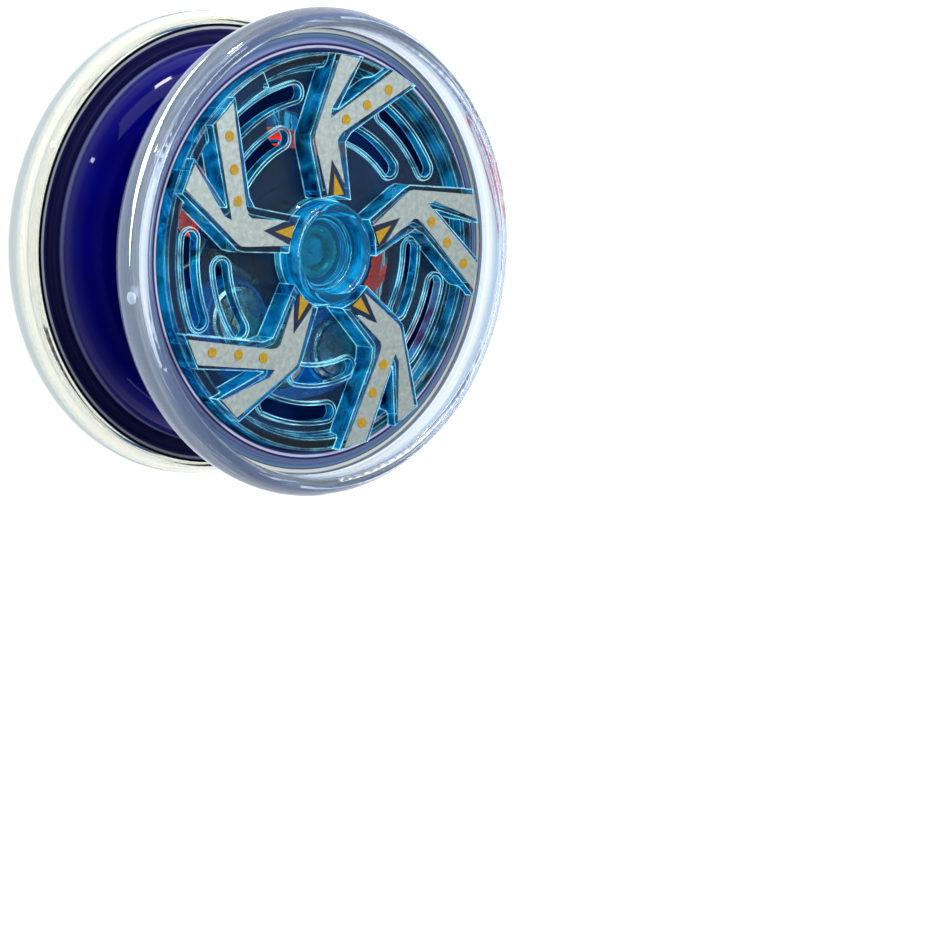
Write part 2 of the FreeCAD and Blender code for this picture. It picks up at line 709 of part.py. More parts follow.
def bearing_races():
    half = dim("race_half")
    groove = mm("ball_radius") + 0.03
    reach = 0.45
    depth = math.sqrt(groove ** 2 - reach ** 2)
    high = FreeCAD.Placement(V(0, 0, 0), FreeCAD.Rotation())
    middle = dim("half_width")
    inner = new_body("bearing_inner_race", high)
    revolve(inner, "race", [
        (dim("axle_radius") + 0.02, middle - half),
        (dim("ball_pitch") - reach, middle - half),
        (dim("ball_pitch") - reach, middle - depth, (dim("ball_pitch") - groove, middle)),
        (dim("ball_pitch") - reach, middle + depth),
        (dim("ball_pitch") - reach, middle + half),
        (dim("axle_radius") + 0.02, middle + half),
    ])
    outer = new_body("bearing_outer_race", high)
    recess, seat = dim("ball_pitch") + 0.9, 1.6
    revolve(outer, "race", [
        (recess, middle - half),
        ("race_outer", middle - half),
        ("race_outer", middle + half),
        (recess, middle + half),
        (recess, middle + seat),
        (dim("ball_pitch") + reach, middle + seat),
        (dim("ball_pitch") + reach, middle + depth, (dim("ball_pitch") + groove, middle)),
        (dim("ball_pitch") + reach, middle - depth),
        (dim("ball_pitch") + reach, middle - seat),
        (recess, middle - seat),
    ])


def bearing_balls():
    """The balls, and the cage that spaces them with a round pocket for each."""
    count = 8
    inner, outer, half = 3.2, 3.8, 1.1
    seats = [polar("ball_pitch", 360.0 / count * (index + 0.5), "half_width") for index in range(count)]
    balls = [Part.makeSphere(mm("ball_radius"), seat) for seat in seats]
    free_feature("bearing_balls", Part.makeCompound(balls), FreeCAD.Placement())
    low = V(0, 0, mm("half_width") - half)
    ring = Part.makeCylinder(outer, 2 * half, low).cut(Part.makeCylinder(inner, 2 * half, low))
    for seat in seats:
        out = V(seat.x, seat.y, 0).normalize()
        pocket_start = V(0, 0, seat.z) + out * (inner - 0.3)
        ring = ring.cut(Part.makeCylinder(mm("ball_radius") + 0.06, 1.2, pocket_start, out))
    free_feature("bearing_cage", ring, FreeCAD.Placement())


def bearing_shields():
    thickness = 0.15
    shields = []
    for low in (mm("half_width") + 1.65, mm("half_width") - 1.65 - thickness):
        disc = Part.makeCylinder(mm("ball_pitch") + 0.85, thickness, V(0, 0, low))
        shields.append(disc.cut(Part.makeCylinder(3.12, thickness, V(0, 0, low))))
    free_feature("bearing_shields", Part.makeCompound(shields), FreeCAD.Placement())


# ---------------------------------------------------------------- string
# The route of the string from the winding over the lower rim to its finger loop, chosen by hand.
TAIL_ROUTE = [V(8.2, -12.3, 13.75), V(13.2, -9.3, 13.7), V(18.6, -5.4, 13.3), V(24.0, -2.2, 12.1),
              V(29.4, -0.6, 9.6), V(34.6, -1.0, 5.3), V(40.0, -0.9, 1.7), V(45.0, 1.4, 0.9),
              V(47.6, 7.0, 0.9), V(44.9, 12.6, 0.9), V(39.0, 13.0, 1.9), V(33.8, 9.4, 5.7),
              V(28.8, 5.2, 9.9), V(24.3, 0.8, 12.2)]
KNOT_CENTRE = V(24.4, -0.9, 12.1)


def string_winding():
    """The wound string between the halves, as its outer shape."""
    body = new_body("string_winding", FreeCAD.Placement())
    middle, width = dim("half_width"), dim("winding_half")
    outer = dim("winding_radius")
    revolve(body, "turns", [
        (dim("race_outer") + 0.02, middle - width),
        (outer - 1.2, middle - width, (outer - 0.3, middle - width * 0.72)),
        (outer, middle, (outer - 0.3, middle + width * 0.72)),
        (outer - 1.2, middle + width),
        (dim("race_outer") + 0.02, middle + width),
    ])


def string_tail():
    radius = mm("cord_radius")
    tube, length, radii = round_tube(TAIL_ROUTE, radius)
    piece = free_feature("string_tail", tube, FreeCAD.Placement())
    expected = math.pi * radius ** 2 * length
    print("tail length %.1f mm, radii %s" % (length, " ".join("%.1f" % item for item in radii)))
    print("tail volume %.2f, section times length %.2f" % (piece.Shape.Volume, expected))


def loop_knot():
    """The slip knot that closes the finger loop."""
    ball = Part.makeSphere(1.0)
    matrix = FreeCAD.Matrix()
    matrix.scale(2.3, 2.5, 1.7)
    knot = ball.transformGeometry(matrix)
    free_feature("loop_knot", knot, FreeCAD.Placement(KNOT_CENTRE, FreeCAD.Rotation(V(0, 0, 1), 20)))


# ---------------------------------------------------------------- build
for half_name, half_placement in HALVES:
    clear_rim(half_name, half_placement)
    body_shell(half_name, half_placement)
    side_cap(half_name, half_placement)
    flat_print("claw_foils_" + half_name, half_placement, "relief_top", "foil_top", [FOIL])
    flat_print("navy_print_" + half_name, half_placement, "relief_top", "foil_top", [NAVY])
    flat_print("gold_print_" + half_name, half_placement, "foil_top", "print_top", [TRIANGLE], DOTS)
    hub_knob(half_name, half_placement)
    hub_nut(half_name, half_placement)
    response_pad(half_name, half_placement)
    bearing_spacer(half_name, half_placement)
    light_tray(half_name, half_placement)
    button_cells(half_name, half_placement)
    contact_strips(half_name, half_placement)
    led_lamp(half_name, half_placement)
    led_leads(half_name, half_placement)
    switch_post(half_name, half_placement)
    switch_spring(half_name, half_placement)
    switch_weight(half_name, half_placement)
    contact_wire(half_name, half_placement)
axle()
bearing_races()
bearing_balls()
bearing_shields()
string_winding()
string_tail()
loop_knot()
DOC.recompute()

# ---------------------------------------------------------------- check and write
faults = []
for item in DOC.Objects:
    if "Invalid" in item.State or "Error" in item.State:
        faults.append("%s is %s" % (item.Label, item.State))
for piece in PIECES:
    if piece.Shape.isNull() or not piece.Shape.isValid() or piece.Shape.Volume <= 0:
        faults.append("%s has no valid shape" % piece.Label)
if faults:
    raise RuntimeError("; ".join(faults))

os.makedirs("parts", exist_ok=True)
for piece in PIECES:
    piece.Shape.exportStep("parts/%s.step" % piece.Label)
    box = piece.Shape.BoundBox
    print("%-24s solids %2d  volume %9.2f  z %6.2f..%6.2f" % (
        piece.Label, len(piece.Shape.Solids), piece.Shape.Volume, box.ZMin, box.ZMax))
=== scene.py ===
"""The looks of a light-up ball-bearing yo-yo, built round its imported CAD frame.  Units are metres."""
import json
import math
import random

import bmesh
import bpy
from mathutils import Matrix, Vector


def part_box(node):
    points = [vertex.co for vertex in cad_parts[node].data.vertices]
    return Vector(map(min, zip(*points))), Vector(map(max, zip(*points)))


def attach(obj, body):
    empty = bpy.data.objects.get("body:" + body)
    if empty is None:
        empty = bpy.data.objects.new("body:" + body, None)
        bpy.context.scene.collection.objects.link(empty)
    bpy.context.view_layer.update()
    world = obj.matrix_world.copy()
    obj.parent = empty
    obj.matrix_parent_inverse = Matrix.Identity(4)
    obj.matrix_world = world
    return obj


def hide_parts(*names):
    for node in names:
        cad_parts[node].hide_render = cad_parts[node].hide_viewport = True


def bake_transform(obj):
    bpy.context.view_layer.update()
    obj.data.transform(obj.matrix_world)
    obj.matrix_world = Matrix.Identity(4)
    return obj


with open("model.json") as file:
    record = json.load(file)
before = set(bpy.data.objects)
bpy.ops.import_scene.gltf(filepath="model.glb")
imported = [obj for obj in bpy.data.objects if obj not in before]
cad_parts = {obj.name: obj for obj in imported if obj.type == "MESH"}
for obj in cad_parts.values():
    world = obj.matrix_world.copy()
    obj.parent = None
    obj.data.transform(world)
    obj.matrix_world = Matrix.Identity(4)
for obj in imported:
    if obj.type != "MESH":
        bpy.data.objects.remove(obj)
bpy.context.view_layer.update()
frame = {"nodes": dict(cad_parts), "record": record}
nodes = frame["nodes"]

MM = 0.001
rim_low, rim_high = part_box("clear_rim_top")
OUTER_RADIUS = (rim_high.x - rim_low.x) / 2
MIDDLE = rim_high.z / 2                      # height of the middle plane, where the string runs
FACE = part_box("gold_print_top")[1].z         # height of the face that the camera looks at


# ---------------------------------------------------------------- camera, floor and light
# The surroundings by the Z of a direction, from the horizon and below it (0) to straight up (1).
SURROUNDINGS = ((0.0, (0.75, 0.75, 0.76)), (0.50, (0.07, 0.10, 0.15)), (0.62, (0.06, 0.09, 0.14)),
                (0.80, (0.16, 0.20, 0.25)), (1.0, (0.42, 0.44, 0.45)))
# The lamps, all turned to the yo-yo's middle: name, place, width and depth, power in watts.
LAMPS = (("overhead", (0.18, 0.10, 0.55), (0.24, 0.24), 1.7),
         ("soft_top", (0.0, 0.72, 0.36), (0.8, 0.34), 2.0),
         ("upper_window", (0.02, 0.62, 0.15), (0.10, 0.07), 1.25),
         ("side_window", (-0.50, 0.44, 0.05), (0.025, 0.08), 0.30),
         ("low_strip", (-0.06, -0.50, 0.20), (0.26, 0.03), 0.06))
FLOOR_REACH = 1.5
FLOOR_DROP = 0.0002                      # keeps the table's surface clear of the face that rests on it


def make_camera():
    """A long lens over the yo-yo's face and to one side of it, upright with the yo-yo's +Y."""
    turn, tilt, roll = math.radians(39.73), math.radians(5.1), math.radians(1.11)
    away = 10.48 * OUTER_RADIUS
    off_centre = Vector((0.0936, 0.008, 0.0)) * OUTER_RADIUS
    data = bpy.data.cameras.new("camera")
    data.lens = 98.9
    data.shift_x = 0.168
    data.shift_y = -0.228
    data.clip_start = 0.01
    data.clip_end = 20.0
    camera = bpy.data.objects.new("camera", data)
    bpy.context.scene.collection.objects.link(camera)
    to_camera = (Matrix.Rotation(roll, 3, "Z") @ Matrix.Rotation(tilt, 3, "X")
                 @ Matrix.Rotation(turn, 3, "Y"))
    to_world = to_camera.transposed()
    camera.matrix_world = to_world.to_4x4()
    camera.location = Vector((0, 0, FACE)) + to_world @ (Vector((0, 0, away)) - off_centre)
    bpy.context.scene.camera = camera


def add_area_light(name, place, size, power):
    """A rectangular lamp that looks at the yo-yo's middle."""
    data = bpy.data.lights.new(name, "AREA")
    data.shape = "RECTANGLE"
    data.size, data.size_y = size
    data.energy = power
    light = bpy.data.objects.new(name, data)
    bpy.context.scene.collection.objects.link(light)
    light.location = place
    looks = Vector((0, 0, MIDDLE)) - Vector(place)
    light.rotation_euler = looks.to_track_quat("-Z", "Y").to_euler()


def set_stops(ramp, stops):
    """Fills a colour ramp from (position, colour) pairs."""
    elements = ramp.color_ramp.elements
    while len(elements) < len(stops):
        elements.new(0.5)
    for element, (position, colour) in zip(elements, stops):
        element.position = position
        element.color = (*colour, 1.0)


def make_studio():
    """The colour settings, the surroundings that the plastic reflects, and the lamps."""
    scene = bpy.context.scene
    scene.view_settings.view_transform = "Standard"
    scene.view_settings.gamma = 0.92
    world = bpy.data.worlds.new("studio")
    world.use_nodes = True
    scene.world = world
    tree = world.node_tree
    place = tree.nodes.new("ShaderNodeTexCoord")
    split = tree.nodes.new("ShaderNodeSeparateXYZ")
    ramp = tree.nodes.new("ShaderNodeValToRGB")
    set_stops(ramp, SURROUNDINGS)
    tree.links.new(place.outputs["Generated"], split.inputs["Vector"])
    tree.links.new(split.outputs["Z"], ramp.inputs["Fac"])
    background = tree.nodes["Background"]
    background.inputs["Strength"].default_value = 1.0
    tree.links.new(ramp.outputs["Color"], background.inputs["Color"])
    for lamp in LAMPS:
        add_area_light(*lamp)


def make_floor():
    """A pale light table."""
    mesh = bpy.data.meshes.new("floor")
    corners = [(FLOOR_REACH * x, FLOOR_REACH * y, 0) for x, y in ((-1, -1), (1, -1), (1, 1), (-1, 1))]
    mesh.from_pydata(corners, [], [(0, 1, 2, 3)])
    floor = bpy.data.objects.new("floor", mesh)
    bpy.context.scene.collection.objects.link(floor)
    floor.location.z = -FLOOR_DROP
    material, _ = new_material("floor_white", Base_Color=(0.4, 0.4, 0.4, 1), Roughness=0.9,
                               Emission_Color=(1.0, 1.0, 1.0, 1), Emission_Strength=0.95)
    mesh.materials.append(material)


# ---------------------------------------------------------------- material helpers
NOISE_LOW, NOISE_HIGH = 0.3, 0.7         # most of a noise texture's values lie between these
WALL_STARTS, WALL_FULL = 0.97, 0.45      # size of the normal's Z where a face starts to count as a wall
EDGE_STARTS, EDGE_FULL = 0.99, 0.80      # likeness of the rounded normal to the true one beside an edge
SIDE_TURN = 0.0001                       # half-width of the change from one side to the other, in metres
STREAK_WANDER = 0.02                     # share of X in the streaks, so that they aren't perfect rings
WAVE_UNIT = 20.0                         # radians a metre that a wave texture makes at scale 1


def new_material(name, **sockets):
    """A material and its shader, with constants set on the shader's own sockets."""
    material = bpy.data.materials.new(name)
    material.use_nodes = True
    shader = material.node_tree.nodes["Principled BSDF"]
    for socket, value in sockets.items():
        shader.inputs[socket.replace("_", " ")].default_value = value
    return material, shader


def add_place(material, output="Object"):
    """A piece's own coordinates, or its own normals."""
    return material.node_tree.nodes.new("ShaderNodeTexCoord").outputs[output]


def add_split(material, vector):
    """The X, Y and Z of a vector."""
    tree = material.node_tree
    parts = tree.nodes.new("ShaderNodeSeparateXYZ")
    tree.links.new(vector, parts.inputs["Vector"])
    return parts.outputs


def add_math(material, operation, first, second=None):
    """One step of arithmetic on a socket, with a number or another socket as its second term."""
    tree = material.node_tree
    step = tree.nodes.new("ShaderNodeMath")
    step.operation = operation
    tree.links.new(first, step.inputs[0])
    if isinstance(second, float):
        step.inputs[1].default_value = second
    elif second is not None:
        tree.links.new(second, step.inputs[1])
    return step.outputs["Value"]


def add_together(material, first, second, share):
    """The first factor times a share, plus the second, up to 1."""
    tree = material.node_tree
    total = tree.nodes.new("ShaderNodeMath")
    total.operation = "MULTIPLY_ADD"
    total.use_clamp = True
    total.inputs[1].default_value = share
    tree.links.new(first, total.inputs[0])
    tree.links.new(second, total.inputs[2])
    return total.outputs["Value"]


def add_span(material, value, low, high, at_low=0.0, at_high=1.0):
    """The value carried from low and high to at_low and at_high, and held beyond them."""
    tree = material.node_tree
    span = tree.nodes.new("ShaderNodeMapRange")
    span.inputs["From Min"].default_value = low
    span.inputs["From Max"].default_value = high
    span.inputs["To Min"].default_value = at_low
    span.inputs["To Max"].default_value = at_high
    tree.links.new(value, span.inputs["Value"])
    return span.outputs["Result"]


def add_mix(material, factor, first, second):
    """The first colour where the factor is 0, and the second where it is 1."""
    tree = material.node_tree
    mix = tree.nodes.new("ShaderNodeMix")
    mix.data_type = "RGBA"
    factor_in, first_in, second_in = mix.inputs[0], mix.inputs[6], mix.inputs[7]
    tree.links.new(factor, factor_in)
    tree.links.new(first, first_in)
    tree.links.new(second, second_in)
    return mix.outputs[2]


def add_ramp(material, factor, stops):
    """A colour for the factor, through (position, colour) stops."""
    tree = material.node_tree
    ramp = tree.nodes.new("ShaderNodeValToRGB")
    set_stops(ramp, stops)
    tree.links.new(factor, ramp.inputs["Fac"])
    return ramp.outputs["Color"]


def add_noise(material, scale, detail=3.0, stretch=(1.0, 1.0, 1.0), distortion=0.0):
    """Noise in a piece's own frame, so that the grain rides with it."""
    tree = material.node_tree
    mapping = tree.nodes.new("ShaderNodeMapping")
    mapping.inputs["Scale"].default_value = stretch
    noise = tree.nodes.new("ShaderNodeTexNoise")
    noise.inputs["Scale"].default_value = scale
    noise.inputs["Detail"].default_value = detail
    noise.inputs["Distortion"].default_value = distortion
    tree.links.new(add_place(material), mapping.inputs["Vector"])
    tree.links.new(mapping.outputs["Vector"], noise.inputs["Vector"])
    return noise.outputs["Fac"]


def add_rings(material, radians_a_metre, waviness):
    """Bands that run round the spin axis, such as moulding flow lines."""
    tree = material.node_tree
    wave = tree.nodes.new("ShaderNodeTexWave")
    wave.wave_type = "RINGS"
    wave.rings_direction = "Z"
    wave.inputs["Scale"].default_value = radians_a_metre / WAVE_UNIT
    wave.inputs["Distortion"].default_value = waviness
    wave.inputs["Detail Scale"].default_value = 2.0
    tree.links.new(add_place(material), wave.inputs["Vector"])
    return wave.outputs["Fac"]


def add_radius(material):
    """The distance from the spin axis in metres."""
    tree = material.node_tree
    flat = tree.nodes.new("ShaderNodeVectorMath")
    flat.operation = "MULTIPLY"
    flat.inputs[1].default_value = (1.0, 1.0, 0.0)
    radius = tree.nodes.new("ShaderNodeVectorMath")
    radius.operation = "LENGTH"
    tree.links.new(add_place(material), flat.inputs[0])
    tree.links.new(flat.outputs["Vector"], radius.inputs[0])
    return radius.outputs["Value"]


def add_height(material):
    """The height over the middle plane in metres, negative below it."""
    return add_math(material, "SUBTRACT", add_split(material, add_place(material))["Z"], MIDDLE)


def add_from_middle(material):
    """The distance from the middle plane in metres."""
    return add_math(material, "ABSOLUTE", add_height(material))


def add_faces_outward(material):
    """1 on surfaces that look away from the middle plane, and 0 on those that look towards it."""
    looks = add_split(material, add_place(material, "Normal"))["Z"]
    sided = add_math(material, "MULTIPLY", add_height(material), looks)
    return add_span(material, sided, -SIDE_TURN, SIDE_TURN)


def add_wall_factor(material):
    """0 on faces square to the spin axis, 1 on the walls along it, where light comes out of an edge."""
    looks = add_split(material, add_place(material, "Normal"))["Z"]
    return add_span(material, add_math(material, "ABSOLUTE", looks), WALL_STARTS, WALL_FULL)


def add_edge_factor(material, radius):
    """1 along sharp edges and 0 away from them."""
    tree = material.node_tree
    bevel = tree.nodes.new("ShaderNodeBevel")
    bevel.samples = 4
    bevel.inputs["Radius"].default_value = radius
    surface = tree.nodes.new("ShaderNodeNewGeometry")
    likeness = tree.nodes.new("ShaderNodeVectorMath")
    likeness.operation = "DOT_PRODUCT"
    tree.links.new(bevel.outputs["Normal"], likeness.inputs[0])
    tree.links.new(surface.outputs["Normal"], likeness.inputs[1])
    return add_span(material, likeness.outputs["Value"], EDGE_STARTS, EDGE_FULL)


def add_streaks(material, scale):
    """Fine streaks that run round the spin axis: noise of the radius and the height, hardly of the angle."""
    tree = material.node_tree
    place = add_split(material, add_place(material))
    polar = tree.nodes.new("ShaderNodeCombineXYZ")
    noise = tree.nodes.new("ShaderNodeTexNoise")
    noise.inputs["Scale"].default_value = scale
    noise.inputs["Detail"].default_value = 3.0
    tree.links.new(add_radius(material), polar.inputs["X"])
    tree.links.new(place["Z"], polar.inputs["Y"])
    tree.links.new(add_math(material, "MULTIPLY", place["X"], STREAK_WANDER), polar.inputs["Z"])
    tree.links.new(polar.outputs["Vector"], noise.inputs["Vector"])
    return noise.outputs["Fac"]


def colour_by(material, shader, factor, stops, socket="Base Color"):
    """Sets a socket from a factor through a ramp of (position, colour)."""
    material.node_tree.links.new(add_ramp(material, factor, stops), shader.inputs[socket])


def level_by(material, shader, noise, low, high, socket="Roughness"):
    """Sets a socket between low and high from a noise."""
    level = add_span(material, noise, NOISE_LOW, NOISE_HIGH, low, high)
    material.node_tree.links.new(level, shader.inputs[socket])


def level_between(material, shader, factor, low, high, socket):
    """Sets a socket from low to high as the factor goes from 0 to 1."""
    level = add_span(material, factor, 0.0, 1.0, low, high)
    material.node_tree.links.new(level, shader.inputs[socket])


def bump_by(material, shader, factor, height):
    """Raises the surface by up to a height in metres, over any bump that it already has."""
    tree = material.node_tree
    bump = tree.nodes.new("ShaderNodeBump")
    bump.inputs["Distance"].default_value = height
    bump.inputs["Strength"].default_value = 1.0
    tree.links.new(factor, bump.inputs["Height"])
    earlier = shader.inputs["Normal"].links
    if earlier:
        tree.links.new(earlier[0].from_socket, bump.inputs["Normal"])
    tree.links.new(bump.outputs["Normal"], shader.inputs["Normal"])


def absorb(material, colour, density):
    """Colour that deepens with the thickness of plastic."""
    tree = material.node_tree
    volume = tree.nodes.new("ShaderNodeVolumeAbsorption")
    volume.inputs["Color"].default_value = (*colour, 1.0)
    volume.inputs["Density"].default_value = density
    output = tree.nodes["Material Output"]
    tree.links.new(volume.outputs["Volume"], output.inputs["Volume"])


# ---------------------------------------------------------------- materials
# Bump heights are in metres, and the scale of a noise is per metre.
# The outermost skin of a clear rim, where a painted grey-blue outline stands in for the shade that
# refraction gives along its edge.
SKIN_STARTS, SKIN_FULL = OUTER_RADIUS - 0.28 * MM, OUTER_RADIUS - 0.05 * MM
CREAM, CREAM_DENSITY = (0.95, 0.96, 0.78), 55.0


def clear_plastic(name, dark, light, clearness, shine, gathered, streak_height):
    """Clear styrene with flow lines and haze that run round it, a little cream in its thickness.

    Its streaks go from dark to light, and clearness is how much passes through at each end.  gathered is
    a painted glow, emission that stands in for light gathered inside the plastic.
    """
    material, shader = new_material(name, IOR=1.49, Specular_IOR_Level=shine,
                                    Emission_Color=(0.62, 0.70, 0.98, 1), Emission_Strength=gathered)
    streaks = add_streaks(material, 900.0)
    body = add_ramp(material, streaks, ((0.42, dark), (0.57, light)))
    # Painted shade: darker grey-blue streaks on the outermost skin of the rim.
    painted_edge_shade = add_ramp(material, streaks, ((0.3, (0.30, 0.40, 0.46)), (0.7, (0.45, 0.55, 0.60))))
    outside = add_span(material, add_radius(material), SKIN_STARTS, SKIN_FULL)
    material.node_tree.links.new(add_mix(material, outside, body, painted_edge_shade), shader.inputs["Base Color"])
    level_by(material, shader, streaks, clearness[0], clearness[1], "Transmission Weight")
    absorb(material, CREAM, CREAM_DENSITY)
    level_by(material, shader, add_noise(material, 900.0, 5.0), 0.01, 0.05)
    bump_by(material, shader, add_noise(material, 60.0, 1.0), 0.00002)
    bump_by(material, shader, add_streaks(material, 700.0), streak_height)
    return material


# Painted light: the colours of a wall and an edge of the dyed plastic, by the strength of the painted glow
# that stands in for light coming out of them.
WALL_PAINTED_LIGHT = ((0.1, (0.0, 0.17, 0.38)), (0.6, (0.0, 0.28, 0.52)), (0.95, (0.03, 0.50, 0.76)))
EDGE_LIGHT = ((0.0, (0.0, 0.24, 0.48)), (0.35, (0.0, 0.50, 0.78)), (0.75, (0.42, 0.96, 1.0)))
DYE = (0.02, 0.72, 0.88)
GLOWING_CLEARNESS = 0.30                 # how much passes through where the glow is full
FULL_GLOW = 1.15                         # emission where the glow is full


def dyed_plastic(name, flat, clearness, wall_share, least_glow, edge_width, density, wave_height):
    """See-through dye, with painted light: a deeper colour painted on the walls and a painted glow on the
    walls and along the edges, where light from inside comes out.

    wall_share is how much of the glow the walls have, and least_glow is the emission away from it.
    """
    material, shader = new_material(name, IOR=1.49)
    walls = add_wall_factor(material)
    edges = add_edge_factor(material, edge_width)
    patches = add_span(material, add_noise(material, 380.0, 2.0, distortion=0.6), 0.34, 0.62)
    bright_edges = add_math(material, "MULTIPLY", edges, add_span(material, patches, -0.9, 1.0))
    flat_colour = add_ramp(material, patches, ((0.0, [0.9 * level for level in flat]), (1.0, flat)))
    # The walls' colour is painted light, a deeper blue for light coming out through them.
    wall_colour = add_ramp(material, patches, WALL_PAINTED_LIGHT)
    material.node_tree.links.new(add_mix(material, walls, flat_colour, wall_colour),
                                 shader.inputs["Base Color"])
    wall_glow = add_math(material, "MULTIPLY", walls, patches)
    glow = add_together(material, wall_glow, bright_edges, wall_share)
    # Painted glow along the edges and on the walls.
    colour_by(material, shader, bright_edges, EDGE_LIGHT, "Emission Color")
    level_between(material, shader, glow, clearness, GLOWING_CLEARNESS, "Transmission Weight")
    level_between(material, shader, glow, least_glow, FULL_GLOW, "Emission Strength")
    absorb(material, DYE, density)
    level_by(material, shader, add_noise(material, 700.0, 5.0), 0.01, 0.05)
    bump_by(material, shader, add_noise(material, 260.0, 2.0), wave_height)
    return material


# Colours of the shell's flange by radius in mm, on the side of the string gap and on the side of the face.
# On the toy these fine rings are steps in the moulding and what they reflect; here they are painted
# highlights, reflections and shade.
NAVY = (0.0005, 0.0004, 0.20)
GAP_SIDE_BANDS = ((24.2, NAVY), (24.6, (0.025, 0.025, 0.20)),
                  (24.72, (0.22, 0.24, 0.46)), (24.85, (0.010, 0.010, 0.08)),
                  (25.7, (0.035, 0.035, 0.15)), (26.2, (0.012, 0.012, 0.10)), (26.6, (0.05, 0.05, 0.18)),
                  (26.68, (0.80, 0.82, 0.78)), (26.92, (0.80, 0.82, 0.78)), (27.0, (0.004, 0.004, 0.03)))
FACE_SIDE_BANDS = ((23.8, (0.05, 0.05, 0.15)), (24.15, (0.12, 0.12, 0.26)), (24.22, (0.75, 0.74, 0.90)),
                   (24.45, (0.75, 0.74, 0.90)), (24.52, (0.03, 0.02, 0.12)), (24.7, (0.05, 0.05, 0.17)),
                   (24.9, (0.33, 0.36, 0.62)), (25.4, (0.12, 0.19, 0.36)), (25.8, (0.20, 0.33, 0.48)),
                   (25.95, (0.04, 0.05, 0.15)), (26.05, (0.88, 0.90, 0.80)), (26.35, (0.88, 0.90, 0.80)),
                   (26.5, (0.16, 0.22, 0.36)), (27.1, (0.26, 0.30, 0.52)))
BANDS_START = 23.0                       # radius in mm at the foot of both ramps of bands
FLANGE_STARTS, FLANGE_FULL = 24.2 * MM, 24.3 * MM
CAP_RING_STARTS, CAP_RING_FULL = 23.70 * MM, 23.72 * MM      # the shell's ring round the cap
FACE_SIDE_STARTS, FACE_SIDE_FULL = 9.0 * MM, 9.1 * MM        # distance from the middle plane


def navy_plastic():
    """Deep blue gloss moulding, with fine rings of painted highlight, reflection and shade on its outer
    steps, and painted light on its faces under the cap.
    """
    material, shader = new_material("navy_plastic", IOR=1.45, Specular_IOR_Level=0.18)
    radius = add_radius(material)
    along = add_span(material, radius, BANDS_START * MM, OUTER_RADIUS)
    reach = OUTER_RADIUS / MM - BANDS_START
    gap_side, face_side = (add_ramp(material, along, [((r - BANDS_START) / reach, colour)
                                                      for r, colour in bands])
                           for bands in (GAP_SIDE_BANDS, FACE_SIDE_BANDS))
    on_face_side = add_span(material, add_from_middle(material), FACE_SIDE_STARTS, FACE_SIDE_FULL)
    past_cap = add_span(material, radius, CAP_RING_STARTS, CAP_RING_FULL)
    mottle = add_noise(material, 120.0, 3.0)
    outside = add_ramp(material, mottle, ((0.3, (0.0004, 0.0004, 0.15)), (0.7, (0.0010, 0.0006, 0.24))))
    # Painted light: the faces that look away from the string gap, under the cap, are painted lighter and
    # greener than the navy.
    inside_painted_light = add_ramp(material, mottle, ((0.3, (0.008, 0.028, 0.15)), (0.7, (0.014, 0.040, 0.21))))
    dye_and_painted_light = add_mix(material, add_faces_outward(material), outside, inside_painted_light)
    # Painted highlights, reflections and shade in fine rings on the flange and round the cap.
    banded = add_mix(material, on_face_side, gap_side, face_side)
    on_flange = add_span(material, radius, FLANGE_STARTS, FLANGE_FULL)
    on_cap_ring = add_math(material, "MULTIPLY", on_face_side, past_cap)
    is_banded = add_together(material, on_cap_ring, on_flange, 1.0)
    material.node_tree.links.new(add_mix(material, is_banded, dye_and_painted_light, banded), shader.inputs["Base Color"])
    level_by(material, shader, add_noise(material, 1200.0, 5.0), 0.04, 0.09)
    bump_by(material, shader, add_noise(material, 300.0, 2.0), 0.00001)
    bump_by(material, shader, add_rings(material, 1600.0, 0.6), 0.000003)
    return material


def tray_plastic():
    """The light tray's milky blue, with a painted blue glow."""
    material, shader = new_material("tray_plastic", Transmission_Weight=0.6, IOR=1.49,
                                    Emission_Color=(0.0, 0.22, 0.55, 1), Emission_Strength=0.16)
    level_by(material, shader, add_noise(material, 800.0, 4.0), 0.12, 0.3)
    colour_by(material, shader, add_noise(material, 500.0, 3.0),
              ((0.3, (0.0, 0.22, 0.70)), (0.7, (0.04, 0.42, 0.90))))
    bump_by(material, shader, add_noise(material, 600.0, 3.0), 0.00005)
    return material


def silver_foil():
    """Satin foil with a fine mottle."""
    material, shader = new_material("silver_foil", Metallic=0.55, IOR=1.45)
    colour_by(material, shader, add_noise(material, 1700.0, 6.0),
              ((0.30, (0.36, 0.42, 0.41)), (0.5, (0.43, 0.49, 0.47)), (0.72, (0.52, 0.58, 0.56))))
    level_by(material, shader, add_noise(material, 2600.0, 5.0), 0.38, 0.55)
    bump_by(material, shader, add_noise(material, 2200.0, 4.0), 0.00003)
    return material


def print_ink(name, dark, light, roughness):
    """Screen print, slightly grainy."""
    material, shader = new_material(name, IOR=1.45)
    colour_by(material, shader, add_noise(material, 2400.0, 5.0), ((0.3, dark), (0.7, light)))
    level_by(material, shader, add_noise(material, 1500.0, 3.0), roughness, roughness + 0.15)
    bump_by(material, shader, add_noise(material, 3000.0, 3.0), 0.00001)
    return material


def metal(name, dark, light, roughness, grain=1500.0):
    """Bare metal with a fine grain."""
    material, shader = new_material(name, Metallic=1.0)
    colour_by(material, shader, add_noise(material, grain, 4.0), ((0.3, dark), (0.7, light)))
    level_by(material, shader, add_noise(material, grain * 0.6, 4.0), roughness, roughness + 0.16)
    bump_by(material, shader, add_noise(material, grain, 3.0, stretch=(1, 1, 6)), 0.00001)
    return material


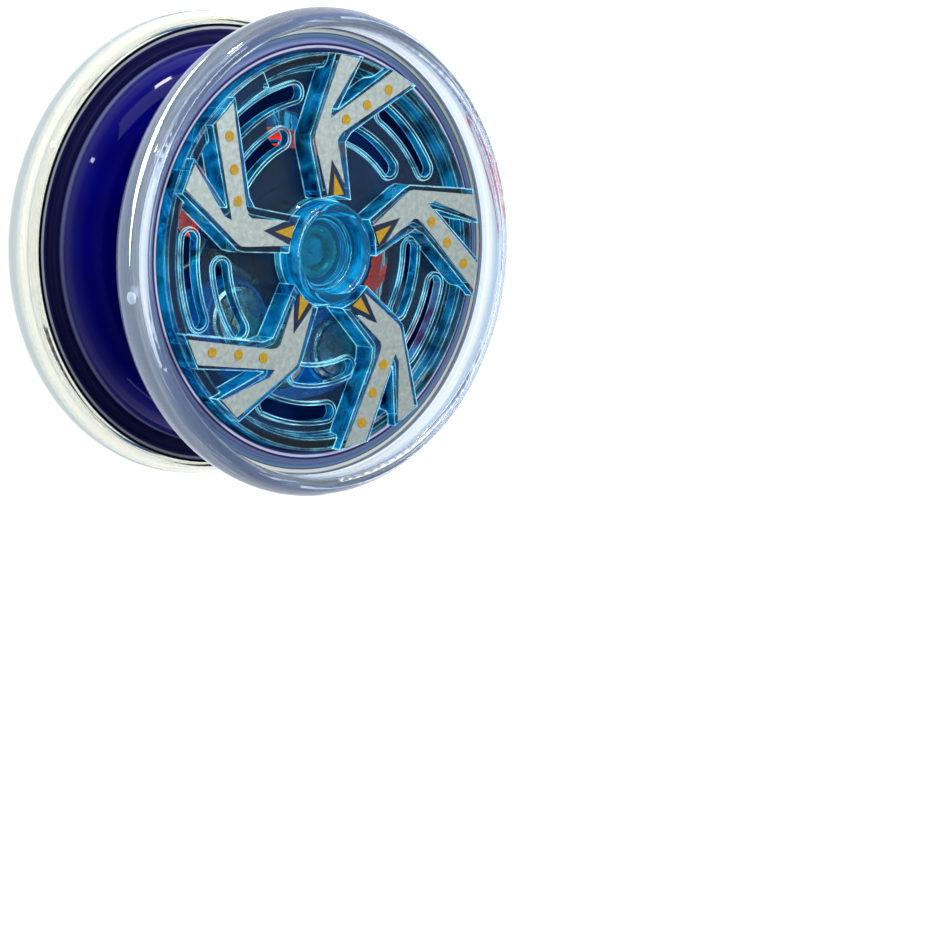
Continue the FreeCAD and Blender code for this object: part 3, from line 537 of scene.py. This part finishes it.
def silicone():
    """The pale response pads."""
    material, shader = new_material("silicone", IOR=1.41, Subsurface_Weight=0.2, Subsurface_Scale=0.0008)
    colour_by(material, shader, add_noise(material, 900.0, 4.0),
              ((0.3, (0.62, 0.63, 0.62)), (0.7, (0.78, 0.79, 0.77))))
    level_by(material, shader, add_noise(material, 1300.0, 4.0), 0.45, 0.62)
    bump_by(material, shader, add_noise(material, 2000.0, 3.0), 0.00002)
    return material


def lamp_clear():
    """The lamp's water-clear resin."""
    material, shader = new_material("lamp_clear", Base_Color=(0.96, 0.98, 1.0, 1), Transmission_Weight=1.0,
                                    IOR=1.54)
    level_by(material, shader, add_noise(material, 1100.0, 3.0), 0.02, 0.07)
    bump_by(material, shader, add_noise(material, 900.0, 2.0), 0.00002)
    return material


def string_fibre():
    """Orange-red polyester yarn with a painted red glow: fine fibres along each strand, paler where they
    catch the light.
    """
    material, shader = new_material("string_fibre", IOR=1.5, Sheen_Weight=0.5, Sheen_Roughness=0.4,
                                    Sheen_Tint=(1.0, 0.55, 0.42, 1), Subsurface_Weight=0.25,
                                    Subsurface_Scale=0.0006, Emission_Color=(1.0, 0.06, 0.03, 1),
                                    Emission_Strength=0.42)
    colour_by(material, shader, add_noise(material, 5200.0, 5.0, stretch=(1, 1, 0.3)),
              ((0.28, (0.62, 0.022, 0.012)), (0.5, (0.92, 0.065, 0.030)), (0.74, (1.0, 0.20, 0.11))))
    level_by(material, shader, add_noise(material, 3000.0, 3.0), 0.55, 0.8)
    bump_by(material, shader, add_noise(material, 6500.0, 5.0, stretch=(1, 1, 0.35)), 0.00009)
    return material


MATERIALS = {
    "clear_plastic": clear_plastic("clear_plastic", (0.93, 0.94, 0.87), (0.98, 0.98, 0.92),
                                   clearness=(0.92, 0.98), shine=0.5, gathered=0.0,
                                   streak_height=0.000006),
    # The front rim's copy: its steel-blue dark streaks are a painted reflection of the navy shell seen
    # through it, with a faint painted lavender glow.
    "clear_front": clear_plastic("clear_front", (0.50, 0.62, 0.82), (1.0, 1.0, 0.96),
                                 clearness=(0.90, 0.99), shine=0.05, gathered=0.045,
                                 streak_height=0.00002),
    # The gate mark's copy: cloudy, with a strong painted glow that whitens it.
    "frosted_painted_glow": clear_plastic("frosted_painted_glow", (0.86, 0.90, 0.92), (0.95, 0.97, 0.98),
                             clearness=(0.05, 0.25), shine=0.5, gathered=0.32,
                             streak_height=0.00003),
    "navy_plastic": navy_plastic(),
    "teal_plastic": dyed_plastic("teal_plastic", (0.66, 0.92, 0.99), clearness=0.97, wall_share=0.34,
                                 least_glow=0.0, edge_width=0.27 * MM, density=420.0,
                                 wave_height=0.00005),
    "aqua_plastic": dyed_plastic("aqua_plastic", (0.14, 0.78, 0.98), clearness=0.92, wall_share=0.42,
                                 least_glow=0.07, edge_width=0.30 * MM, density=330.0,
                                 wave_height=0.00016),
    "tray_plastic": tray_plastic(),
    "silver_foil": silver_foil(),
    "navy_ink": print_ink("navy_ink", (0.003, 0.016, 0.05), (0.006, 0.028, 0.08), 0.3),
    "gold_ink": print_ink("gold_ink", (0.50, 0.29, 0.004), (0.68, 0.42, 0.008), 0.35),
    "brass": metal("brass", (0.60, 0.52, 0.32), (0.80, 0.72, 0.48), 0.16),
    "silicone": silicone(),
    "steel": metal("steel", (0.45, 0.45, 0.46), (0.62, 0.62, 0.63), 0.22),
    "cell_steel": metal("cell_steel", (0.36, 0.38, 0.40), (0.60, 0.62, 0.62), 0.2, 2000.0),
    "contact_metal": metal("contact_metal", (0.60, 0.55, 0.42), (0.78, 0.73, 0.58), 0.25, 1800.0),
    "lamp_clear": lamp_clear(),
    "bearing_chrome": metal("bearing_chrome", (0.66, 0.67, 0.69), (0.80, 0.81, 0.83), 0.06, 900.0),
    "cage_metal": metal("cage_metal", (0.52, 0.46, 0.36), (0.70, 0.62, 0.48), 0.3),
    "string": string_fibre(),
}


def dress_cad_nodes():
    """Every CAD node takes the material of its slot."""
    slots = {item["node"]: item["material_slot"] for item in frame["record"]["subparts"]}
    for name, node in nodes.items():
        # The front rim takes its own copy of the clear plastic, with a painted reflection of the navy shell
        # in its dark streaks and a faint painted glow; both rims share a slot.
        material = "clear_front" if name == "clear_rim_top" else slots[name]
        node.data.materials.clear()
        node.data.materials.append(MATERIALS[material])
        for face in node.data.polygons:
            face.material_index = 0


# ---------------------------------------------------------------- mesh helpers
def new_piece(name, mesh, body, slot):
    """A smooth piece with one material; it rides body, or nothing when body is None."""
    piece = bpy.data.objects.new(name, mesh)
    bpy.context.scene.collection.objects.link(piece)
    mesh.materials.append(MATERIALS[slot])
    for face in mesh.polygons:
        face.use_smooth = True
    if body:
        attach(piece, body)
    return piece


def nurbs_line(name, points, resolution):
    """A bevel-less NURBS line through space, with the points as its control points."""
    data = bpy.data.curves.new(name, "CURVE")
    data.dimensions = "3D"
    data.resolution_u = resolution
    spline = data.splines.new("NURBS")
    spline.points.add(len(points) - 1)
    for control, point in zip(spline.points, points):
        control.co = (*point, 1.0)
    spline.order_u = 3
    spline.use_endpoint_u = True
    line = bpy.data.objects.new(name, data)
    bpy.context.scene.collection.objects.link(line)
    bpy.context.view_layer.update()
    mesh = bpy.data.meshes.new_from_object(line)
    path = [vertex.co.copy() for vertex in mesh.vertices]
    bpy.data.objects.remove(line)
    bpy.data.meshes.remove(mesh)
    return path


def path_frames(path):
    """A point, tangent and two sideways directions for each point, carried along without twisting."""
    frames = []
    side = None
    for index, point in enumerate(path):
        before, after = path[max(index - 1, 0)], path[min(index + 1, len(path) - 1)]
        tangent = (after - before).normalized()
        if side is None:
            side = tangent.orthogonal().normalized()
        side = (side - tangent * side.dot(tangent)).normalized()
        frames.append((point, tangent, side, tangent.cross(side)))
    return frames


def around(side, up, angle):
    """The direction at an angle round a line, between its two sideways directions."""
    return side * math.cos(angle) + up * math.sin(angle)


def coil(start, axis, length, radius, turns, points_a_turn):
    """Points of a coil that begins at start and runs along an axis."""
    side = axis.orthogonal().normalized()
    up = axis.cross(side)
    points = []
    for step in range(int(turns * points_a_turn) + 1):
        share = step / (turns * points_a_turn)
        outward = around(side, up, 2 * math.pi * step / points_a_turn)
        points.append(start + axis * length * share + outward * radius)
    return points


def close_mesh(name, bm):
    """The finished mesh of a bmesh."""
    mesh = bpy.data.meshes.new(name)
    bm.to_mesh(mesh)
    bm.free()
    return mesh


def add_tube(bm, centres, frames, radius, sides):
    """A closed tube round a line of centres."""
    rings = []
    for centre, (_, _, side, up) in zip(centres, frames):
        ring = []
        for step in range(sides):
            outward = around(side, up, 2 * math.pi * step / sides)
            ring.append(bm.verts.new(centre + outward * radius))
        rings.append(ring)
    for first, second in zip(rings, rings[1:]):
        for step in range(sides):
            following = (step + 1) % sides
            bm.faces.new((first[step], first[following], second[following], second[step]))
    bm.faces.new(rings[0][::-1])
    bm.faces.new(rings[-1])


STRANDS = 3
STRAND_RADIUS = 0.245                    # of the cord's diameter
STRAND_OFFSET = 0.262                    # from the cord's middle to a strand's, of the cord's diameter
STRAND_SIDES = 7


def twisted_mesh(name, path, diameter, lay_length):
    """Strands laid up round a path, with one full turn in each lay length."""
    strand = diameter * STRAND_RADIUS
    offset = diameter * STRAND_OFFSET
    frames = path_frames(path)
    distances = [0.0]
    for first, second in zip(path, path[1:]):
        distances.append(distances[-1] + (second - first).length)
    bm = bmesh.new()
    for number in range(STRANDS):
        centres = []
        for (point, _, side, up), distance in zip(frames, distances):
            angle = 2 * math.pi * (distance / lay_length + number / STRANDS)
            centres.append(point + around(side, up, angle) * offset)
        add_tube(bm, centres, frames, strand, STRAND_SIDES)
    return close_mesh(name, bm)


# ---------------------------------------------------------------- string
STRING_DIAMETER = 1.5 * MM
BEARING_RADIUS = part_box("bearing_outer_race")[1].x
# The tail's route from the winding over the lower rim to the finger loop, listed in mm.
TAIL_ROUTE = [(8.2, -12.3, 13.75), (13.2, -9.3, 13.7), (18.6, -5.4, 13.3), (24.0, -2.2, 12.1),
              (29.4, -0.6, 9.6), (34.6, -1.0, 5.3), (40.0, -0.9, 1.7), (45.0, 1.4, 0.9),
              (47.6, 7.0, 0.9), (44.9, 12.6, 0.9), (39.0, 13.0, 1.9), (33.8, 9.4, 5.7),
              (28.8, 5.2, 9.9), (24.3, 0.8, 12.2)]
STRING_LAY = 4.2 * MM                    # length in which the strands go once round each other
LINE_RESOLUTION = 5                      # points that the NURBS lines get for each control point
KNOT_CENTRE = Vector((24.4, -0.9, 12.1)) * MM
KNOT_DIAMETER = STRING_DIAMETER * 0.95   # the knot is pulled tight
KNOT_LAY = 3.4 * MM
KNOT_LENGTH = 2.5 * MM
KNOT_RADIUS = 1.25 * MM
KNOT_TURNS = 2.6
KNOT_POINTS_A_TURN = 14

LANES = (-1, 0, 1)                       # three turns lie side by side in the gap
FULL_LAYERS = 4
TURNS = 3 * FULL_LAYERS + 3
POINTS_A_TURN = 20
CROSSING_STARTS = 0.72                   # the last part of each turn crosses to the next lane
TIGHT_TURNS = 8                          # the turns over these lie looser and looser
LOOSENING = 0.07 * MM
LAYER_RISE = STRING_DIAMETER * 1.40
LANE_STEP = STRING_DIAMETER * 0.99
SLACK_TURNS = 3.0                        # the last turns hang loose on one side of the gap
SLACK_ANGLE = math.radians(-10.0)
SLACK_REACH = 4.2 * MM                   # how far the loosest turn stands off from the others
SLACK_FOCUS = 5                          # the higher it is, the narrower the loose side


def lane_and_layer(turn):
    """Where a turn of the winding lies; every other layer is laid back the other way."""
    layer, place = divmod(turn, 3)
    lane = LANES[place] if layer % 2 == 0 else -LANES[place]
    return lane, layer


def winding_points():
    """Turns side by side in three lanes, layer on layer, the outer ones looser."""
    rng = random.Random(7)
    end_angle = math.atan2(TAIL_ROUTE[0][1], TAIL_ROUTE[0][0])
    first_radius = BEARING_RADIUS + STRING_DIAMETER * 0.55       # just clear of the bearing
    points = []
    for step in range(TURNS * POINTS_A_TURN):
        along = step / POINTS_A_TURN
        turn = int(along)
        cross = max(0.0, (along - turn - CROSSING_STARTS) / (1 - CROSSING_STARTS))
        cross = cross * cross * (3 - 2 * cross)          # eases in and out of the crossing
        lane, layer = lane_and_layer(turn)
        next_lane, next_layer = lane_and_layer(turn + 1)
        if turn == TURNS - 1:                            # the tail leaves from the middle of the gap
            next_lane, next_layer = 0, FULL_LAYERS + 0.25
        height = (lane + (next_lane - lane) * cross) * LANE_STEP
        rise = (layer + (next_layer - layer) * cross) * LAYER_RISE
        loose = LOOSENING * max(0, turn - TIGHT_TURNS) * rng.uniform(-0.9, 0.3)
        angle = end_angle - 2 * math.pi * (TURNS - along)
        near_end = max(0.0, 1 - (TURNS - along) / SLACK_TURNS)
        slack = near_end * max(0.0, math.cos(angle - SLACK_ANGLE)) ** SLACK_FOCUS
        radius = first_radius + rise + loose + SLACK_REACH * slack
        points.append(Vector((radius * math.cos(angle), radius * math.sin(angle), MIDDLE + height)))
    return points


def make_string():
    """The winding and the tail as one cord, which stands for both of the frame's string nodes."""
    points = winding_points() + [Vector(point) * MM for point in TAIL_ROUTE]
    path = nurbs_line("string_line", points, LINE_RESOLUTION)
    mesh = twisted_mesh("yoyo_string", path, STRING_DIAMETER, STRING_LAY)
    piece = new_piece("yoyo_string", mesh, "string_side", "string")
    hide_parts("string_winding", "string_tail")
    knot = make_knot()


def make_knot():
    """Wraps of the string round its own standing part."""
    axis = (Vector(TAIL_ROUTE[4]) - Vector(TAIL_ROUTE[2])).normalized()
    points = coil(KNOT_CENTRE - axis * KNOT_LENGTH / 2, axis, KNOT_LENGTH, KNOT_RADIUS, KNOT_TURNS,
                  KNOT_POINTS_A_TURN)
    path = nurbs_line("knot_line", points, LINE_RESOLUTION)
    mesh = twisted_mesh("loop_wraps", path, KNOT_DIAMETER, KNOT_LAY)
    piece = new_piece("loop_wraps", mesh, "string_side", "string")
    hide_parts("loop_knot")
    return piece


# ---------------------------------------------------------------- switch springs
SPRING_WIRE = 0.1 * MM
SPRING_TURNS = 17
SPRING_POINTS_A_TURN = 12
WIRE_SIDES = 6
POST_GAP = 0.5 * MM                      # from the post's middle to the spring's first turn
WEIGHT_GAP = 0.9 * MM                    # from its last turn to the weight's middle


def make_spring(half):
    """The coil spring between the post and the weight, built at their present spacing; on the toy it
    lengthens as the weight flies out.
    """
    spring_low, spring_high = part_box("switch_spring_" + half)
    post_low, post_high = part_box("switch_post_" + half)
    weight_low, weight_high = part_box("switch_weight_" + half)
    height = (spring_low.z + spring_high.z) / 2
    post = (post_low + post_high) / 2
    weight = (weight_low + weight_high) / 2
    post.z = weight.z = height
    along = (weight - post).normalized()
    radius = (spring_high.z - spring_low.z) / 2 - SPRING_WIRE
    start = post + along * POST_GAP
    length = (weight - start).length - WEIGHT_GAP
    path = coil(start, along, length, radius, SPRING_TURNS, SPRING_POINTS_A_TURN)
    bm = bmesh.new()
    add_tube(bm, path, path_frames(path), SPRING_WIRE, WIRE_SIDES)
    name = "coil_spring_" + half
    mesh = close_mesh(name, bm)
    piece = new_piece(name, mesh, None, "steel")
    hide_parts("switch_spring_" + half)
    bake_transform(piece)


# ---------------------------------------------------------------- small mouldings
GATE_ANGLE = math.radians(186.0)
GATE_DEPTH = 0.15 * MM                   # of its middle inside the rim's outside
GATE_DROP = 1.6 * MM                     # of its middle below the rim's crest
GATE_HALF_SIZE = Vector((0.45, 0.75, 0.62)) * MM     # outwards, round the rim, and along the axis
GATE_ROUGHNESS = 0.10


def make_gate_mark():
    """The nub that was left on the clear rim where it was cut from its runner."""
    out = Vector((math.cos(GATE_ANGLE), math.sin(GATE_ANGLE), 0))
    across = Vector((-out.y, out.x, 0))
    centre = out * (OUTER_RADIUS - GATE_DEPTH) + Vector((0, 0, rim_high.z - GATE_DROP))
    bm = bmesh.new()
    bmesh.ops.create_icosphere(bm, subdivisions=3, radius=1.0)
    rng = random.Random(3)
    for vertex in bm.verts:
        local = vertex.co * GATE_HALF_SIZE * (1.0 + rng.uniform(-GATE_ROUGHNESS, GATE_ROUGHNESS))
        vertex.co = centre + out * local.x + across * local.y + Vector((0, 0, local.z))
    mesh = close_mesh("rim_gate_mark", bm)
    new_piece("rim_gate_mark", mesh, "top_half", "clear_plastic")
    mesh.materials[0] = MATERIALS["frosted_painted_glow"]     # the rim's slot, cloudier, with a painted glow that whitens it


make_camera()
make_studio()
make_floor()
dress_cad_nodes()
make_string()
make_spring("top")
make_spring("bottom")
make_gate_mark()
